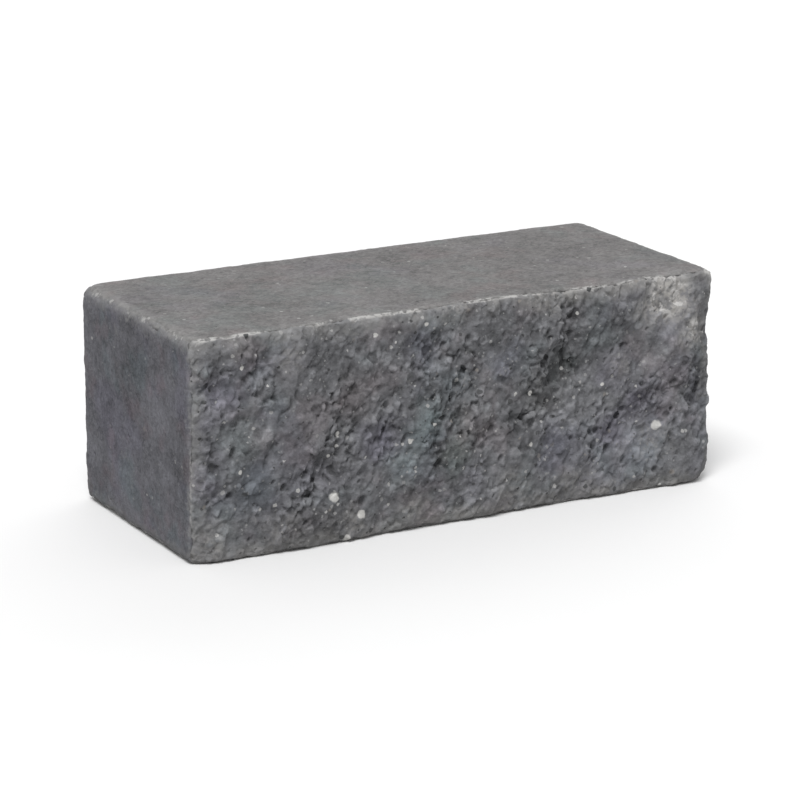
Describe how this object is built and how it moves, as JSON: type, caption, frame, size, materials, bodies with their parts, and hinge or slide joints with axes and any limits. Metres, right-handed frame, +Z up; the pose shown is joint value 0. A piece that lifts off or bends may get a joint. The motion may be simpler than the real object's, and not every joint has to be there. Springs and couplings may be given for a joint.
{
  "type": "split-face wall block",
  "caption": "Oblong concrete walling block with a rough split long face, smooth moulded ends, beds and back, and edges worn round by tumbling.",
  "frame": {"origin": "bottom centre of the block's bounding box", "axes": "+X along the block's length, as it runs in the wall; -Y is the way the split face looks; +Z up, across the bed joints"},
  "size_m": [0.29, 0.13, 0.11],
  "materials": {
    "concrete": "matte"
  },
  "bodies": {
    "root": {"wall_block": "concrete"}
  },
  "joints": []
}
